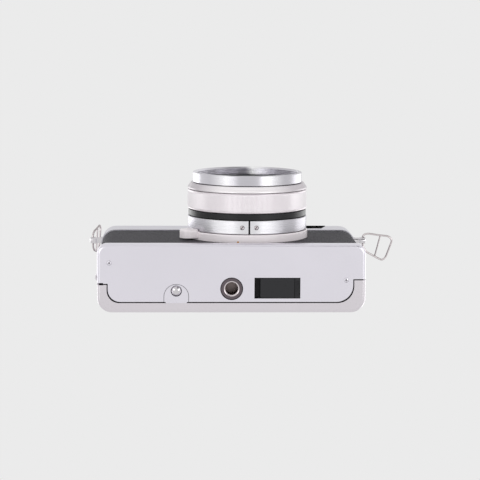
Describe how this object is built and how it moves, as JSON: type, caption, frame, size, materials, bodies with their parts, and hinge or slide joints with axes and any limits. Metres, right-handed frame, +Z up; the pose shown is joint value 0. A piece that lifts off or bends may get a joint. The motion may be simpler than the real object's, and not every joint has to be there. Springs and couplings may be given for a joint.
{
  "type": "rangefinder film camera",
  "caption": "Compact 35 mm film camera with fixed lens, hinged back door, rewind crank, advance lever, hot shoe, strap rings and tripod socket.",
  "frame": {"origin": "middle of the bottom plate's outer face, on which the camera stands", "axes": "+Z up to the top cover, the lens points along -Y, +X along the body's length towards the rewind knob"},
  "size_m": [0.1445, 0.0605, 0.0772],
  "materials": {
    "satin_chrome": "satin chrome plate over pressed sheet",
    "bright_chrome": "polished chrome plate",
    "anodised_silver": "turned and anodised aluminium",
    "anodised_black": "black anodised aluminium",
    "cast_alloy": "die-cast, painted black",
    "dark_steel": "machined steel",
    "leatherette": "embossed vinyl on cloth",
    "black_plastic": "moulded",
    "black_gloss": "polished",
    "glass": "coated optical glass",
    "brass": "turned brass"
  },
  "bodies": {
    "root": {"bottom_plate": "satin_chrome", "top_cover": "satin_chrome", "release_button_seat": "satin_chrome", "shroud_ring": "satin_chrome", "strap_lug_left": "bright_chrome", "strap_lug_right": "bright_chrome", "button_cell": "bright_chrome", "button_collar": "bright_chrome", "lens_barrel": "anodised_black", "index_band": "anodised_black", "chassis": "cast_alloy", "take_up_housing": "cast_alloy", "viewfinder_block": "cast_alloy", "hinge_leaf": "dark_steel", "hinge_pin": "dark_steel", "tripod_socket": "dark_steel", "plate_screw_left": "dark_steel", "plate_screw_right": "dark_steel", "clamp_screw_left": "dark_steel", "clamp_screw_right": "dark_steel", "hot_shoe": "dark_steel", "front_leatherette": "leatherette", "battery_chamber": "black_plastic", "eyepiece_frame": "black_plastic", "window_panel": "black_gloss", "viewfinder_window": "glass", "illumination_window": "glass", "rangefinder_window": "glass", "eyepiece_glass": "glass", "counter_window": "glass", "battery_contact": "brass", "hot_shoe_contact": "brass"},
    "door": {"back_door": "satin_chrome", "door_leatherette": "leatherette", "plate_spring": "dark_steel"},
    "pressure_plate": {"pressure_plate": "anodised_black"},
    "latch": {"latch_bar": "dark_steel"},
    "ring_left": {"strap_ring_left": "bright_chrome"},
    "ring_right": {"strap_ring_right": "bright_chrome"},
    "release_button": {"rewind_release_button": "bright_chrome"},
    "battery_cover": {"battery_cover": "black_plastic"},
    "base_ring": {"base_ring": "anodised_silver"},
    "focus_ring": {"focus_ring": "anodised_silver"},
    "lens_unit": {"lens_cell": "anodised_black", "shutter_block": "anodised_black", "front_glass": "glass", "filter_ring": "satin_chrome", "inner_ring": "anodised_black", "meter_window": "glass"},
    "bevel_ring": {"bevel_ring": "anodised_silver"},
    "rewind_lifter": {"rewind_bushing": "brass"},
    "rewind_unit": {"rewind_shaft": "bright_chrome", "rewind_knob": "satin_chrome"},
    "crank": {"crank_arm": "bright_chrome"},
    "lever": {"advance_lever": "satin_chrome", "lever_tip": "black_plastic"},
    "spool": {"take_up_spool": "black_plastic"},
    "sprocket": {"sprocket": "dark_steel"},
    "counter": {"counter_dial": "black_plastic"},
    "shutter_button": {"shutter_button": "bright_chrome"}
  },
  "joints": [
    {"name": "door_swing", "type": "hinge", "parent": "root", "child": "door", "pos_m": [-0.0593, 0.00265, 0], "axis": [0, 0, 1], "range_deg": [0, 110]},
    {"name": "pressure_plate_slide", "type": "slide", "parent": "door", "child": "pressure_plate", "axis": [0, 1, 0], "range_m": [0, 0.0005], "stiffness_N_per_m": 500},
    {"name": "rewind_lift", "type": "slide", "parent": "root", "child": "rewind_lifter", "axis": [0, 0, 1], "range_m": [0, 0.007]},
    {"name": "rewind_spin", "type": "hinge", "parent": "rewind_lifter", "child": "rewind_unit", "pos_m": [0.043, 0.0022, 0.07], "axis": [0, 0, 1], "continuous": true},
    {"name": "crank_fold", "type": "hinge", "parent": "rewind_unit", "child": "crank", "pos_m": [0.037, 0.0022, 0.07445], "axis": [0, -1, 0], "range_deg": [0, 165]},
    {"name": "latch_slide", "type": "slide", "parent": "root", "child": "latch", "axis": [0, 0, 1], "range_m": [0, 0.0021]},
    {"name": "advance_stroke", "type": "hinge", "parent": "root", "child": "lever", "pos_m": [-0.044, 0.001, 0.07], "axis": [0, 0, 1], "range_deg": [0, 125], "stiffness_Nm_per_rad": 0.02},
    {"name": "spool_turn", "type": "hinge", "parent": "root", "child": "spool", "pos_m": [-0.044, 0.001, 0.036], "axis": [0, 0, 1], "range_deg": [0, 315]},
    {"name": "sprocket_turn", "type": "hinge", "parent": "root", "child": "sprocket", "pos_m": [-0.0248, 0.0073, 0.036], "axis": [0, 0, 1], "range_deg": [0, 361]},
    {"name": "counter_turn", "type": "hinge", "parent": "root", "child": "counter", "pos_m": [-0.016, -0.0015, 0.07], "axis": [0, 0, 1], "range_deg": [0, 10]},
    {"name": "shutter_press", "type": "slide", "parent": "root", "child": "shutter_button", "axis": [0, 0, -1], "range_m": [0, 0.003], "stiffness_N_per_m": 300},
    {"name": "release_press", "type": "slide", "parent": "root", "child": "release_button", "axis": [0, 0, 1], "range_m": [0, 0.0015], "stiffness_N_per_m": 300},
    {"name": "battery_cover_slide", "type": "slide", "parent": "root", "child": "battery_cover", "axis": [-1, 0, 0], "range_m": [0, 0.0022]},
    {"name": "self_timer_turn", "type": "hinge", "parent": "root", "child": "base_ring", "pos_m": [0.0081, -0.02, 0.036], "axis": [0, 1, 0], "range_deg": [0, 45]},
    {"name": "focus_turn", "type": "hinge", "parent": "root", "child": "focus_ring", "pos_m": [0.0081, -0.02, 0.036], "axis": [0, -1, 0], "range_deg": [0, 90]},
    {"name": "lens_slide", "type": "slide", "parent": "root", "child": "lens_unit", "axis": [0, -1, 0], "range_m": [0, 0.00157]},
    {"name": "aperture_turn", "type": "hinge", "parent": "lens_unit", "child": "bevel_ring", "pos_m": [0.0081, -0.02, 0.036], "axis": [0, -1, 0], "range_deg": [0, 70]},
    {"name": "right_ring_swing", "type": "hinge", "parent": "root", "child": "ring_right", "pos_m": [0.0643, -0.00775, 0.057], "axis": [0, 1, 0], "range_deg": [-90, 90]},
    {"name": "left_ring_swing", "type": "hinge", "parent": "root", "child": "ring_left", "pos_m": [-0.0643, -0.00775, 0.057], "axis": [0, -1, 0], "range_deg": [0, 185]}
  ],
  "couplings": [
    {"joint": "latch_slide", "follows": "rewind_lift", "ratio": 0.3},
    {"joint": "focus_turn", "follows": "lens_slide", "rad_per_m": 1000},
    {"joint": "spool_turn", "follows": "advance_stroke", "ratio": 2.5},
    {"joint": "sprocket_turn", "follows": "advance_stroke", "ratio": 2.88},
    {"joint": "counter_turn", "follows": "advance_stroke", "ratio": 0.072}
  ]
}
